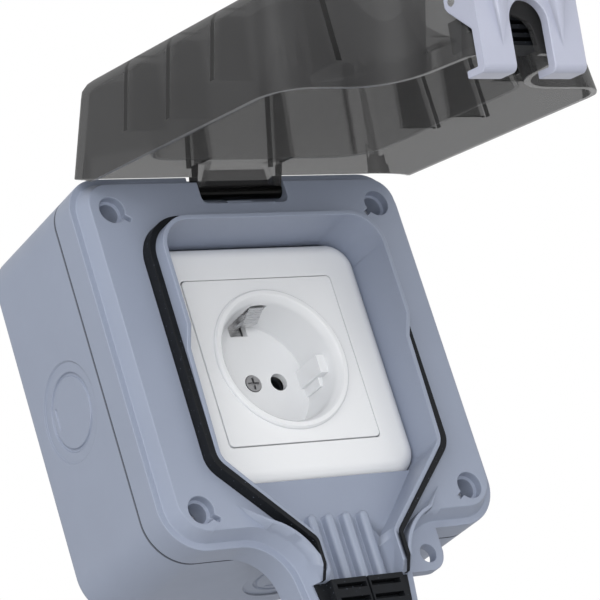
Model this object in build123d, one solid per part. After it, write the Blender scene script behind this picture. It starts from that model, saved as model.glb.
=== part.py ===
# Outdoor weatherproof socket: a wall box with a hinged see-through lid over a two-pin earthed outlet.
# The wall is the plane Y = 0 and the front looks along -Y. Depths are distances in front of the wall.
from build123d import *
from math import atan2, cos, pi, radians, sin, sqrt, tan
import os

os.makedirs("parts", exist_ok=True)

# Enclosure outline, seen from the front
BODY_WIDTH = 121.5
BODY_HEIGHT = 122.0
BODY_CORNER = 12.0
BODY_LOW_CORNER = 14.0
SPOUT_WIDTH = 46.0
SPOUT_NARROW = 4.4
SPOUT_DROP = 32.2
SPOUT_HOLLOW = 15.0
SPOUT_CORNER = 7.0

# Enclosure depths
BOX_DEPTH = 43.6
JOINT_GAP = 0.4
COVER_RIM = 9.9
FACE_RISE = 4.8
LEDGE_WIDTH = 2.2
FACE_INSET = 4.3
SKIN = 3.0

# Box
BOX_WALL = 2.8
BOX_FLOOR = 3.0
BOX_EDGE = 2.5
BOSS_RADIUS = 5.5
PILLAR_RADIUS = 4.5
KNOCKOUT_DEPTH = 23.5
KNOCKOUT_RADIUS = 15.5
KNOCKOUT_DISC = 11.0
KNOCKOUT_STEP = 0.6
KNOCKOUT_GROOVE = 1.1
KNOCKOUT_GROOVE_DEEP = 0.7
KNOCKOUT_DROP = 2.0
KNOCKOUT_SLOT = 6.5
KNOCKOUT_SLOT_SHIFT = 1.5
KNOCKOUT_SLOT_EDGE = 2.6
FIXING_WIDTH = 64.0
FIXING_HEIGHT = 80.0
FIXING_RADIUS = 2.4
FIXING_LENGTH = 10.0
GASKET_OUT = 0.9
GASKET_IN = 1.9
GASKET_DEEP = 0.8

# Outlet frame and plate
OUTLET_DROP = 1.0
FRAME_SIZE = 80.0
FRAME_SINK = 2.6
FRAME_DEPTH = 8.6
FRAME_EDGE = 5.0
FRAME_WALL = 2.2
FRAME_CORNER = 9.0
FRAME_PLAY = 0.15
PLATE_SIZE = 55.0
PLATE_CORNER = 1.5
PLATE_PROUD = 0.2
PLATE_GAP = 0.35
PLATE_THICK = 2.6

# Well of the outlet
WELL_RADIUS = 19.8
WELL_MOUTH = 21.0
WELL_RIM = 23.5
WELL_RIM_RISE = 1.3
WELL_RIM_EDGE = 0.6
WELL_DEPTH = 17.5
WELL_WALL = 1.6
WELL_FLOOR = 2.4
GUIDE_HALF = 3.0
GUIDE_IN = 16.8
GUIDE_SINK = 5.0
PIN_SPACING = 19.0
PIN_HOLE = 2.9
CENTRE_HEAD = 2.7

# Parts behind the outlet
CLIP_HALF = 2.6
CLIP_THICK = 0.8
CLIP_PLAY = 0.6
BASE_SIZE = 50.0
BASE_BACK = 9.5
SLEEVE_OUT = 3.4
SLEEVE_IN = 2.5
SLEEVE_END = 4.0
TERMINAL_X = 18.0
TAIL_THICK = 1.2
STRAP_THICK = 1.2
STRAP_SIZE = 70.0
STRAP_SCREW_SPACING = 60.0
SMALL_SCREW = 1.5
SMALL_HOLE = 1.6
PASS_HOLE = 1.8

# Opening and raised wall on the cover
MOUTH_HALF = 39.5
MOUTH_ABOVE = 40.8
MOUTH_BELOW = 34.8
MOUTH_CORNER = 10.0
MOUTH_BEND = 5.0
EXIT_HALF = 13.2
EXIT_ABOVE_END = 17.4
EXIT_RUN = 13.0
EXIT_BEND = 5.0
WALL = 1.5
WALL_HIGH = 8.8
WALL_LOW = 5.1
WALL_EXIT = 3.2
WALL_TIP = 1.2
WALL_TIP_RUN = 3.2
WALL_STEP_TOP = 5.0
WALL_STEP_BOTTOM = -1.0
SKIRT_DEEP = 4.8
SEAL = 2.1
SEAL_EXIT = 1.2
SEAL_RISE = 4.1
SEAL_SEAT = 0.8

# Ramp, ribs and wings on the cover
RAMP_BELOW = 39.2
RAMP_SINK = 1.1
RAMP_RUN = 15.8
RAMP_RISE = 1.3
RAMP_THICK = 2.2
RIB_PITCH = 6.3
RIB_RADIUS = 1.5
RIB_EDGE = 1.2
RIB_HEIGHT = 3.3
RIB_BELOW = 13.2
WING = 1.0
WING_RISE = 4.0
WING_INSET = 4.7
WING_START = 29.0
WING_FADE_X = 37.2
WING_FADE_RISE = 11.8

# Cover screws
SCREW_EDGE_X = 11.75
SCREW_EDGE_Z = 12.0
SCREW_MOUTH = 4.3
SCREW_MOUTH_DEEP = 3.0
SCREW_STEP = 3.3
SCREW_CLEAR = 2.2
SCREW_FLOOR = 2.6
SCREW_HEAD = 3.0
SCREW_HEAD_HIGH = 2.2
SCREW_SHANK = 1.75
SCREW_FIT = 0.05
NICK_HALF = 0.8
NICK_LENGTH = 2.3
NICK_DEEP = 2.5
NICK_TURN = 56.0
WASHER = 0.8
WASHER_PLAY = 0.1
INSERT_RADIUS = 3.2
INSERT_LENGTH = 14.0

# Padlock eye
EYE_X = 29.3
EYE_DROP = 7.8
EYE_HOLE = 2.9
EYE_RADIUS = 5.6
EYE_THICK = 4.0

# Hinge
HINGE_SINK = 3.3
HINGE_DROP = 6.5
HINGE_HALF = 16.0
RECESS_DROP = 11.6
RECESS_DEEP = 7.2
RECESS_BEND = 2.5
REST_HALF = 4.6
BARREL_RADIUS = 2.2
PIN_RADIUS = 1.2
PIN_FIT = 0.05
PIN_SEAT = 5.0
SIDE_PLAY = 0.4

# Lid, drawn shut and then turned open
LID_OPEN = 76.0
LID_INSET = 1.3
LID_DROP = 3.6
LID_CORNER = 6.0
LID_CORNER_EASE = 0.35
LID_SINK = 1.6
LID_HEIGHT = 32.5
LID_DRAFT = 6.0
LID_WALL = 1.9
LID_ROUND = 5.5
LID_LIFT = 4.6
LID_END_GAP = 0.3
SEAL_PLAY = 0.3
LIP_PLAY = 0.4
FIN = 1.5
SIDE_FINS = ((22.4, 10.0), (-1.6, 7.0), (-25.6, 11.5))
LOW_FIN_X = 36.0
LOW_FIN_LIFT = 8.0
HINGE_FIN_LIFT = 6.7
CORNER_FIN_LIFT = 9.0
CORNER_FIN_HALF = 14.0
ARM = 2.0
ARM_ROOT = 5.0
ARM_RISE = 7.4
ARCH_HALF = 5.4
ARCH_RISE = 6.2

# Slotted combs at the cable exit
COMB_PLAY = 0.2
COMB_INSET = 3.6
COMB_END = 3.6
COMB_PITCH = 4.3
COMB_SLOT = 1.6
COMB_SLOT_DEEP = 3.2
COMB_EDGE = 1.6
COMB_RIDGE = 0.9
COMB_SLIT = 0.35
COMB_PARTING = 1.1
UPPER_PITCH = 2.4
UPPER_SLOT = 1.2

# Latch
LATCH_HALF = 17.9
LATCH_CHEEK = 1.7
LATCH_PIVOT_IN = 5.7
LATCH_PIVOT_RISE = 16.4
LATCH_CAP = 2.5
LATCH_PIN = 1.5
LATCH_PIN_SEAT = 3.5
LATCH_BOSS = 1.6
LATCH_GAP = 0.6
LATCH_LEG = 3.1
LATCH_SLOT = 6.6
LATCH_SLOT_RISE = 8.1
LATCH_EDGE = 2.2
LATCH_RIB = 3.6
LATCH_RIB_X = 10.5
HOOK_DROP = 3.9
HOOK_THICK = 2.2
HOOK_REACH = 4.9
CATCH_PLAY = 1.2
CATCH_THICK = 1.6
CATCH_REACH = 5.0

# Depths that follow from the sizes above
COVER_BACK = BOX_DEPTH + JOINT_GAP
LEDGE = COVER_BACK + COVER_RIM
FACE = LEDGE + FACE_RISE
FRAME_FRONT = LEDGE - FRAME_SINK
PLATE_FRONT = FRAME_FRONT + PLATE_PROUD
STRAP_FRONT = FRAME_FRONT - FRAME_DEPTH
STRAP_BACK = STRAP_FRONT - STRAP_THICK
WELL_BACK = PLATE_FRONT - WELL_DEPTH
SKIRT_BACK = FRAME_FRONT - SKIRT_DEEP
RAMP_BACK = FRAME_FRONT - RAMP_SINK
RAMP_FLOOR = FRAME_FRONT + RAMP_RISE
RIB_CREST = RAMP_FLOOR + RIB_HEIGHT
SEAL_FRONT = FACE + SEAL_RISE
SCREW_SEAT = COVER_BACK + SCREW_FLOOR
INSERT_BACK = BOX_DEPTH - INSERT_LENGTH
HINGE_DEPTH = FACE - HINGE_SINK
RECESS_BACK = FACE - RECESS_DEEP
LID_RIM = FACE - LID_SINK
LID_ROOF = LID_RIM + LID_HEIGHT
LATCH_PIVOT_DEPTH = LID_RIM + LATCH_PIVOT_RISE
LATCH_TOP = LATCH_PIVOT_DEPTH + LATCH_CAP
HOOK_TOP = LID_RIM - HOOK_DROP
CATCH_BACK = HOOK_TOP + CATCH_PLAY
TROUGH = CATCH_BACK + CATCH_THICK

# Heights and places that follow from the sizes above
BODY_TOP = BODY_HEIGHT / 2
BODY_LOW = -BODY_HEIGHT / 2
SPOUT_END = BODY_LOW - SPOUT_DROP
OUTLET_Z = -OUTLET_DROP
MOUTH_TOP = OUTLET_Z + MOUTH_ABOVE
MOUTH_TURN = OUTLET_Z - MOUTH_BELOW
EXIT_END = SPOUT_END + EXIT_ABOVE_END
EXIT_TURN = EXIT_END + EXIT_RUN
WALL_LEAN = atan2(MOUTH_HALF - EXIT_HALF, MOUTH_TURN - EXIT_TURN)
RAMP_TOP = OUTLET_Z - RAMP_BELOW
RAMP_KNEE = RAMP_TOP - RAMP_RUN
RIB_TOP = RAMP_TOP - RIB_BELOW
EYE_Z = BODY_LOW - EYE_DROP
HINGE_HEIGHT = BODY_TOP - HINGE_DROP
HINGE_AXIS = Axis((0, -HINGE_DEPTH, HINGE_HEIGHT), (1, 0, 0))
RECESS_LOW = BODY_TOP - RECESS_DROP
PIN_HALF = HINGE_HALF + PIN_SEAT
LID_TOP = BODY_TOP - LID_DROP
LID_END = SPOUT_END + LID_END_GAP
LATCH_PIVOT_Z = LID_END + LATCH_PIVOT_IN
LEG_INNER = SPOUT_END - LATCH_GAP
SCREW_X = BODY_WIDTH / 2 - SCREW_EDGE_X
SCREW_Z = BODY_TOP - SCREW_EDGE_Z
SCREWS = [(x, OUTLET_Z + z) for x in (-SCREW_X, SCREW_X) for z in (-SCREW_Z, SCREW_Z)]


def slab(outline, back, front):
    """Solid of a front-view outline between two depths."""
    return extrude(Plane.XZ.offset(back) * outline, front - back)


def block(x_low, x_high, z_low, z_high, back, front):
    """Box between limits in X, Z and depth."""
    centre = ((x_low + x_high) / 2, -(back + front) / 2, (z_low + z_high) / 2)
    return Pos(*centre) * Box(x_high - x_low, front - back, z_high - z_low)


def stud(x, z, radius, back, front):
    """Round bar that stands out from the wall."""
    return slab(Pos(x, z) * Circle(radius), back, front)


def cross_bar(z, depth, radius, x_low, x_high):
    """Round bar along X."""
    centre = Pos((x_low + x_high) / 2, -depth, z)
    return centre * Rot(0, 90, 0) * Cylinder(radius, x_high - x_low)


def side_plate(points, x_low, x_high):
    """Plate across X, drawn in the side view as (z, depth) points."""
    outline = make_face(Polyline(*[(-depth, z) for z, depth in points], close=True))
    return extrude(Plane.YZ.offset(x_low) * outline, x_high - x_low)


def rounded(corners):
    """Front-view face through (x, z, radius) corners."""
    points = [(x, z) for x, z, _ in corners]
    radii = [radius for _, _, radius in corners]
    return make_face(FilletPolyline(*points, radius=radii, close=True))


def spouted(half, top, low, spout, end, inset, corner):
    """Rounded square with a narrowing spout at its lower edge, drawn in by an inset."""
    right = [(half, top, max(corner, 1.0)),
             (half, low, max(BODY_LOW_CORNER - inset, 1.0)),
             (spout, low, SPOUT_HOLLOW + inset),
             (spout - SPOUT_NARROW, end, max(SPOUT_CORNER - inset, 1.0))]
    left = [(-x, z, radius) for x, z, radius in reversed(right)]
    return rounded(right + left)


def body_outline(inset):
    """Outline of the enclosure, drawn in by an inset."""
    return spouted(BODY_WIDTH / 2 - inset, BODY_HEIGHT / 2 - inset, BODY_LOW + inset,
                   SPOUT_WIDTH / 2 - inset, SPOUT_END + inset, inset, BODY_CORNER - inset)


def square_outline(inset):
    """Outline of the wall box, without the spout."""
    half = BODY_WIDTH / 2 - inset
    high = BODY_HEIGHT / 2 - inset
    upper = BODY_CORNER - inset
    lower = BODY_LOW_CORNER - inset
    return rounded([(half, high, upper), (half, -high, lower), (-half, -high, lower), (-half, high, upper)])


def lid_outline(inset):
    """Outline of the lid, drawn in by an inset."""
    all_round = LID_INSET + inset
    return spouted(BODY_WIDTH / 2 - all_round, LID_TOP - inset, BODY_LOW + all_round,
                   SPOUT_WIDTH / 2 - all_round, LID_END + inset, all_round,
                   LID_CORNER - LID_CORNER_EASE * inset)


def mouth_outline(offset, end, exit_offset=None):
    """Outline of the opening and its funnel, let out by an offset that may differ at the exit."""
    at_exit = offset if exit_offset is None else exit_offset
    drop = offset * tan(WALL_LEAN / 2)
    right = [(MOUTH_HALF + offset, MOUTH_TOP + offset, MOUTH_CORNER + offset),
             (MOUTH_HALF + offset, MOUTH_TURN - drop, MOUTH_BEND + offset),
             (EXIT_HALF + at_exit, EXIT_TURN - drop, EXIT_BEND - offset),
             (EXIT_HALF + at_exit, end, 0)]
    left = [(-x, z, radius) for x, z, radius in reversed(right)]
    return rounded(right + left)


def taper(outline, back, back_inset, front, front_inset):
    """Solid between one outline at two insets."""
    low = Plane.XZ.offset(back) * outline(back_inset)
    high = Plane.XZ.offset(front) * outline(front_inset)
    return loft([low, high], ruled=True)


def domed(outline, back, back_inset, front, draft, radius):
    """Drafted solid with a rounded front edge, laid through a stack of outlines."""
    slope = draft / (front - back)
    edge = back_inset + slope * (front - radius - back)
    sections = [Plane.XZ.offset(back) * outline(back_inset)]
    for turn in (0, 25, 50, 70, 90):
        depth = front - radius + radius * sin(radians(turn))
        inset = edge + radius * (1 - cos(radians(turn)))
        sections.append(Plane.XZ.offset(depth) * outline(inset))
    return loft(sections, ruled=True)


def mirrored(solid):
    """A solid and its mirror image across the middle plane."""
    return solid + mirror(solid, about=Plane.YZ)


def knockouts():
    """Stepped rings and coin slots cut into the four sides of the box."""
    ring = Cylinder(KNOCKOUT_RADIUS, 2 * KNOCKOUT_STEP)
    groove_depth = 2 * (KNOCKOUT_STEP + KNOCKOUT_GROOVE_DEEP)
    groove = Cylinder(KNOCKOUT_DISC + KNOCKOUT_GROOVE, groove_depth)
    groove -= Cylinder(KNOCKOUT_DISC, groove_depth)
    slot_place = Pos(-KNOCKOUT_SLOT_SHIFT, KNOCKOUT_DISC - KNOCKOUT_SLOT_EDGE)
    slot = slot_place * Box(KNOCKOUT_SLOT, 0.9, groove_depth)
    tool = ring + groove + slot
    side = BODY_WIDTH / 2
    cuts = Pos(-side, -KNOCKOUT_DEPTH, -KNOCKOUT_DROP) * Rot(0, 90, 0) * tool
    cuts += Pos(side, -KNOCKOUT_DEPTH, -KNOCKOUT_DROP) * Rot(0, 90, 0) * tool
    cuts += Pos(0, -KNOCKOUT_DEPTH, BODY_LOW) * tool
    cuts += Pos(0, -KNOCKOUT_DEPTH, -BODY_LOW) * tool
    return cuts


# Wall box
box_shell = slab(square_outline(0), 0, BOX_DEPTH)
box_shell = fillet(box_shell.faces().sort_by(Axis.Y)[-1].edges(), BOX_EDGE)
back_box = box_shell - slab(square_outline(BOX_WALL), BOX_FLOOR, BOX_DEPTH)
for x, z in SCREWS:
    back_box += stud(x, z, BOSS_RADIUS, BOX_FLOOR, BOX_DEPTH)
for x in (-STRAP_SCREW_SPACING / 2, STRAP_SCREW_SPACING / 2):
    back_box += stud(x, OUTLET_Z, PILLAR_RADIUS, BOX_FLOOR, STRAP_BACK)
    back_box -= stud(x, OUTLET_Z, SMALL_HOLE, STRAP_BACK - 14, STRAP_BACK)
for x, z in SCREWS:
    back_box -= stud(x, z, INSERT_RADIUS, INSERT_BACK, BOX_DEPTH)
for x in (-FIXING_WIDTH / 2, FIXING_WIDTH / 2):
    for z in (-FIXING_HEIGHT / 2, FIXING_HEIGHT / 2):
        back_box -= slab(Pos(x, z) * SlotOverall(FIXING_LENGTH, 2 * FIXING_RADIUS), 0, BOX_FLOOR)
back_box -= knockouts()
gasket_ring = square_outline(GASKET_OUT) - square_outline(GASKET_IN)
back_box -= slab(gasket_ring, BOX_DEPTH - GASKET_DEEP, BOX_DEPTH)
box_gasket = slab(gasket_ring, BOX_DEPTH - GASKET_DEEP, COVER_BACK)

# Cover: rim, flat face, and the hollow behind them
shell = slab(body_outline(0), COVER_BACK, LEDGE)
shell += taper(body_outline, LEDGE, LEDGE_WIDTH, FACE, FACE_INSET)
hollow = slab(square_outline(SKIN), COVER_BACK, FACE - SKIN)
pin_land = PIN_HALF + 2
hollow -= block(-pin_land, pin_land, RECESS_LOW - SKIN, BODY_TOP, RECESS_BACK - 2, FACE)
for x, z in SCREWS:
    hollow -= stud(x, z, SCREW_MOUTH + 1.6, COVER_BACK, FACE)
shell -= hollow
shell -= block(-SPOUT_WIDTH, SPOUT_WIDTH, SPOUT_END, SPOUT_END + CATCH_REACH, COVER_BACK, CATCH_BACK)

# Cover: raised wall round the opening, high above the step and low below it
wall_high = FACE + WALL_HIGH
wall_low = FACE + WALL_LOW
wall_exit = FACE + WALL_EXIT
wall_tip = FACE + WALL_TIP
clear_front = wall_high + 1
wall_ring = slab(mouth_outline(WALL, EXIT_END), SKIRT_BACK, wall_high)
step = [(WALL_STEP_TOP, wall_high), (WALL_STEP_BOTTOM, wall_low), (EXIT_TURN, wall_exit),
        (EXIT_END + WALL_TIP_RUN, wall_exit), (EXIT_END, wall_tip), (EXIT_END - 1, wall_tip),
        (EXIT_END - 1, clear_front), (WALL_STEP_TOP, clear_front)]
wall_ring -= side_plate(step, -BODY_WIDTH / 2, BODY_WIDTH / 2)
outlet = Pos(0, OUTLET_Z)
room_size = FRAME_SIZE + 2 * FRAME_PLAY
frame_space = outlet * RectangleRounded(room_size, room_size, FRAME_CORNER + FRAME_PLAY)
frame_clear = slab(frame_space, STRAP_FRONT, FRAME_FRONT + FRAME_PLAY)
frame_clear = fillet(frame_clear.faces().sort_by(Axis.Y)[0].edges(), FRAME_EDGE + FRAME_PLAY)
shell += wall_ring
shell -= slab(mouth_outline(0, EXIT_END - 1), SKIRT_BACK - 1, wall_high)
shell -= frame_clear

# Cover: ramp below the outlet and the level floor of the exit, with ribs
ramp_under = SKIRT_BACK - 1
ramp_side = [(RAMP_TOP, RAMP_BACK), (RAMP_KNEE, RAMP_FLOOR), (EXIT_END, RAMP_FLOOR),
             (EXIT_END, ramp_under), (RAMP_KNEE, ramp_under), (RAMP_TOP - 2, RAMP_BACK - RAMP_THICK)]
ramp = side_plate(ramp_side, -MOUTH_HALF - WALL / 2, MOUTH_HALF + WALL / 2)
rib_outline = Pos(0, RIB_TOP - RIB_RADIUS) * Circle(RIB_RADIUS)
rib_length = RIB_TOP - RIB_RADIUS - EXIT_END + 2 * RIB_RADIUS
rib_outline += Pos(0, RIB_TOP - RIB_RADIUS - rib_length / 2) * Rectangle(2 * RIB_RADIUS, rib_length)
rib = slab(rib_outline, ramp_under, RIB_CREST)
rib = fillet(rib.faces().sort_by(Axis.Y)[0].edges(), RIB_EDGE)
for place in (-1.5, -0.5, 0.5, 1.5):
    ramp += Pos(place * RIB_PITCH, 0, 0) * rib
ramp &= slab(mouth_outline(WALL / 2, EXIT_END), ramp_under, wall_exit)
shell += ramp

# Cover: step down to the trough of the cable exit, with the pad that the latch hooks under
shell -= block(-SPOUT_WIDTH, SPOUT_WIDTH, SPOUT_END - 1, EXIT_END, TROUGH, clear_front)
catch_pad = slab(body_outline(LEDGE_WIDTH), CATCH_BACK, TROUGH)
catch_pad &= block(-SPOUT_WIDTH, SPOUT_WIDTH, SPOUT_END, SPOUT_END + CATCH_REACH, CATCH_BACK, FACE)
shell += catch_pad

# Cover: curved wings beside the spout, fading out on the flat face
wing_top = FACE + WING_RISE
wings = taper(body_outline, FACE, FACE_INSET, wing_top, WING_INSET)
wings -= slab(body_outline(WING_INSET + WING), FACE, wing_top)
wings &= block(EXIT_HALF, WING_START, EXIT_END, BODY_LOW + 2 * SKIN, FACE, wing_top)
wing_slope = [(EXIT_END + WALL_TIP_RUN + 1, wing_top), (EXIT_END, wall_tip), (EXIT_END, clear_front),
              (EXIT_END + WALL_TIP_RUN + 1, clear_front)]
wings -= side_plate(wing_slope, EXIT_HALF, WING_START)
spout_lean = atan2(SPOUT_NARROW, SPOUT_DROP)
hollow_x = SPOUT_WIDTH / 2 + SPOUT_HOLLOW * tan((pi / 2 - spout_lean) / 2)
hollow_z = BODY_LOW - SPOUT_HOLLOW


def wing_edge(inset):
    """Height of the curved edge where the wing begins, drawn in by an inset."""
    return hollow_z + sqrt((SPOUT_HOLLOW + inset) ** 2 - (hollow_x - WING_START) ** 2)


wing_in = wing_edge(WING_INSET + WING)
wing_root = FACE - SKIN / 2
fade_points = [(wing_edge(FACE_INSET), FACE), (wing_edge(WING_INSET), wing_top), (wing_in, wing_top),
               (wing_in, wing_root), (wing_edge(FACE_INSET), wing_root)]
fade_face = make_face(Polyline(*[(-depth, z) for z, depth in fade_points], close=True))
fade_point = Vertex(WING_FADE_X, -FACE, BODY_LOW + WING_FADE_RISE)
wings += loft([Plane.YZ.offset(WING_START) * fade_face, fade_point], ruled=True)
shell += mirrored(wings)

# Cover: seat of the band seal
seal_ring = mouth_outline(WALL + SEAL, EXIT_END, WALL + SEAL_EXIT) - mouth_outline(WALL, EXIT_END - 1)
opening_seal = slab(seal_ring, FACE - SEAL_SEAT, SEAL_FRONT)
seal_slope = [(EXIT_END + WALL_TIP_RUN + 1, SEAL_FRONT), (EXIT_END, wall_tip), (EXIT_END, clear_front),
              (EXIT_END + WALL_TIP_RUN + 1, clear_front)]
opening_seal -= side_plate(seal_slope, -SPOUT_WIDTH, SPOUT_WIDTH)
shell -= slab(seal_ring, FACE - SEAL_SEAT, SEAL_FRONT)

# Cover: screw holes and padlock eye
for x, z in SCREWS:
    shell -= stud(x, z, SCREW_MOUTH, FACE - SCREW_MOUTH_DEEP, FACE)
    shell -= stud(x, z, SCREW_STEP, SCREW_SEAT, FACE)
    shell -= stud(x, z, SCREW_CLEAR, COVER_BACK, FACE)
    nick = block(-NICK_HALF, NICK_HALF, -SCREW_MOUTH - NICK_LENGTH, 0, FACE - NICK_DEEP, FACE)
    turn = NICK_TURN if x < 0 else -NICK_TURN
    shell -= Pos(x, 0, z) * Rot(0, -turn, 0) * nick
eye_out = EYE_X + EYE_RADIUS
eye_low = EYE_Z - EYE_RADIUS
eye_in = SPOUT_WIDTH / 2 - 4
eye_high = BODY_LOW + SKIN
eye_arm = make_face(Polyline((eye_out, eye_high), (eye_out, EYE_Z), (EYE_X, eye_low), (eye_in, eye_low),
                             (eye_in, eye_high), close=True))
eye_tab = eye_arm + Pos(EYE_X, EYE_Z) * Circle(EYE_RADIUS)
eye_plate = slab(eye_tab, LEDGE - EYE_THICK, LEDGE)
shell += eye_plate - slab(square_outline(SKIN), COVER_BACK, LEDGE)
shell -= stud(EYE_X, EYE_Z, EYE_HOLE, COVER_BACK, FACE)

# Cover: hinge recess with the block under the barrel, and the pin across it
recess = rounded([(HINGE_HALF, BODY_TOP + 1, 0), (HINGE_HALF, RECESS_LOW, RECESS_BEND),
                  (-HINGE_HALF, RECESS_LOW, RECESS_BEND), (-HINGE_HALF, BODY_TOP + 1, 0)])
shell -= slab(recess, RECESS_BACK, FACE + 1)
rest_top = HINGE_HEIGHT - BARREL_RADIUS - SIDE_PLAY
shell += block(-REST_HALF, REST_HALF, RECESS_LOW - 1, rest_top, RECESS_BACK - 1, HINGE_DEPTH)
hinge_pin = cross_bar(HINGE_HEIGHT, HINGE_DEPTH, PIN_RADIUS, -PIN_HALF, PIN_HALF)
shell -= hinge_pin
front_housing = shell

# Cover screws with their washers and inserts
washer_front = SCREW_SEAT + WASHER
head_front = washer_front + SCREW_HEAD_HIGH
cross_back = head_front - SCREW_HEAD_HIGH / 2
cover_screws = Part()
screw_washers = Part()
screw_inserts = Part()
for x, z in SCREWS:
    screw = stud(x, z, SCREW_HEAD, washer_front, head_front)
    screw += stud(x, z, SCREW_SHANK, INSERT_BACK + 2, washer_front)
    screw -= block(x - 0.5, x + 0.5, z - 2, z + 2, cross_back, head_front)
    screw -= block(x - 2, x + 2, z - 0.5, z + 0.5, cross_back, head_front)
    cover_screws += screw
    washer = stud(x, z, SCREW_STEP - WASHER_PLAY, SCREW_SEAT, washer_front)
    screw_washers += washer - stud(x, z, SCREW_CLEAR, SCREW_SEAT, washer_front)
    insert = stud(x, z, INSERT_RADIUS, INSERT_BACK, BOX_DEPTH - 1)
    screw_inserts += insert - stud(x, z, SCREW_SHANK + SCREW_FIT, INSERT_BACK, BOX_DEPTH)

# Slotted comb in the trough of the exit, on a thin plate that the lid's rim closes over
comb_half = EXIT_HALF - COMB_PLAY
comb_low = SPOUT_END + COMB_END
comb_floor = wall_tip - COMB_SLOT_DEEP
comb_plate = slab(body_outline(COMB_INSET), TROUGH, LID_RIM - SEAL_PLAY)
comb_plate &= block(-SPOUT_WIDTH, SPOUT_WIDTH, comb_low, EXIT_END, TROUGH, FACE)
cable_comb_lower = comb_plate + block(-comb_half, comb_half, comb_low, EXIT_END, TROUGH, wall_tip)
for place in range(3):
    slot_top = EXIT_END - COMB_EDGE - COMB_PITCH * place
    slot = block(COMB_RIDGE, comb_half - COMB_EDGE, slot_top - COMB_SLOT, slot_top, comb_floor, wall_tip)
    cable_comb_lower -= mirrored(slot)
cable_comb_lower -= block(-COMB_SLIT, COMB_SLIT, comb_low + 2, EXIT_END, comb_floor, wall_tip)

# Outlet: frame and plate with the round well
frame_outline = outlet * RectangleRounded(FRAME_SIZE, FRAME_SIZE, FRAME_CORNER)
socket_frame = slab(frame_outline, STRAP_FRONT, FRAME_FRONT)
socket_frame = fillet(socket_frame.faces().sort_by(Axis.Y)[0].edges(), FRAME_EDGE)
frame_room = FRAME_SIZE - 2 * (FRAME_EDGE - 0.5)
frame_hollow = outlet * RectangleRounded(frame_room, frame_room, FRAME_EDGE)
socket_frame -= slab(frame_hollow, STRAP_FRONT, FRAME_FRONT - 2 * FRAME_WALL)
plate_room = PLATE_SIZE + 2 * PLATE_GAP
plate_hole = outlet * RectangleRounded(plate_room, plate_room, PLATE_CORNER)
socket_frame -= slab(plate_hole, STRAP_FRONT, FRAME_FRONT)

rim_front = PLATE_FRONT + WELL_RIM_RISE
well_plane = Plane(origin=(0, 0, OUTLET_Z), x_dir=(1, 0, 0), z_dir=(0, 0, -1))
well_axis = Axis((0, 0, OUTLET_Z), (0, -1, 0))
cup_radius = WELL_RADIUS + WELL_WALL
cup_back = WELL_BACK - WELL_FLOOR
plate_back = PLATE_FRONT - PLATE_THICK
rim_edge = rim_front - WELL_RIM_EDGE
well_side = make_face(Polyline((0, cup_back), (cup_radius, cup_back), (cup_radius, plate_back),
                               (WELL_RIM, plate_back), (WELL_RIM, rim_edge),
                               (WELL_RIM - WELL_RIM_EDGE, rim_front), (WELL_MOUTH + WELL_RIM_EDGE, rim_front),
                               (WELL_MOUTH, rim_edge), (WELL_RADIUS, PLATE_FRONT - 2),
                               (WELL_RADIUS, WELL_BACK), (0, WELL_BACK), close=True))
well = revolve(well_plane * well_side, axis=well_axis)
plate_outline = RectangleRounded(PLATE_SIZE, PLATE_SIZE, PLATE_CORNER) - Circle(WELL_RIM - WELL_RIM_EDGE)
socket_cover = slab(outlet * plate_outline, plate_back, PLATE_FRONT) + well
guide_front = PLATE_FRONT - GUIDE_SINK
guide_low = OUTLET_Z - 2 * GUIDE_HALF
guide = block(GUIDE_IN, cup_radius, OUTLET_Z - GUIDE_HALF, OUTLET_Z + GUIDE_HALF, WELL_BACK, guide_front)
guide += block(GUIDE_IN + 1.2, cup_radius, guide_low, OUTLET_Z, WELL_BACK, guide_front - 4)
guide &= stud(0, OUTLET_Z, WELL_RADIUS + WELL_WALL / 4, WELL_BACK, PLATE_FRONT)
socket_cover += mirrored(guide)
slot_half = CLIP_HALF + CLIP_PLAY
clip_slot = block(-slot_half, slot_half, WELL_RADIUS - 3.6, cup_radius + 1, cup_back, PLATE_FRONT - 3)
socket_cover -= Pos(0, 0, OUTLET_Z) * clip_slot
socket_cover -= Pos(0, 0, OUTLET_Z) * mirror(clip_slot, about=Plane.XY)
for x in (-PIN_SPACING / 2, PIN_SPACING / 2):
    socket_cover -= stud(x, OUTLET_Z, PIN_HOLE, cup_back, WELL_BACK)
centre_seat = cup_back + 0.9
socket_cover -= stud(0, OUTLET_Z, CENTRE_HEAD + 0.2, centre_seat, WELL_BACK)
socket_cover -= stud(0, OUTLET_Z, PASS_HOLE, cup_back, WELL_BACK)

# Outlet: earth clip, block, contacts and screws behind the plate
clip_front = cup_back - 0.1
clip_back = clip_front - CLIP_THICK
base_front = clip_back - 0.1
leg_out = WELL_RADIUS + 1.0
leg_in = leg_out - CLIP_THICK
tip = PLATE_FRONT - 4.5
leg_side = [(0, clip_back), (leg_out, clip_back), (leg_out, tip), (leg_in - 0.3, tip),
            (leg_in - 3.2, tip - 5.5), (leg_in - 2.2, tip - 10), (leg_in - 1.6, tip - 9.6),
            (leg_in - 2.3, tip - 5.6), (leg_in, tip - 1.4), (leg_in, clip_front), (0, clip_front)]
clip_leg = side_plate(leg_side, -CLIP_HALF, CLIP_HALF)
clip_leg += stud(0, 0, CLIP_HALF + 1, clip_back, clip_front)
clip_leg -= stud(0, 0, PASS_HOLE, clip_back, clip_front)
earth_clip = Pos(0, 0, OUTLET_Z) * (clip_leg + mirror(clip_leg, about=Plane.XY))

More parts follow.
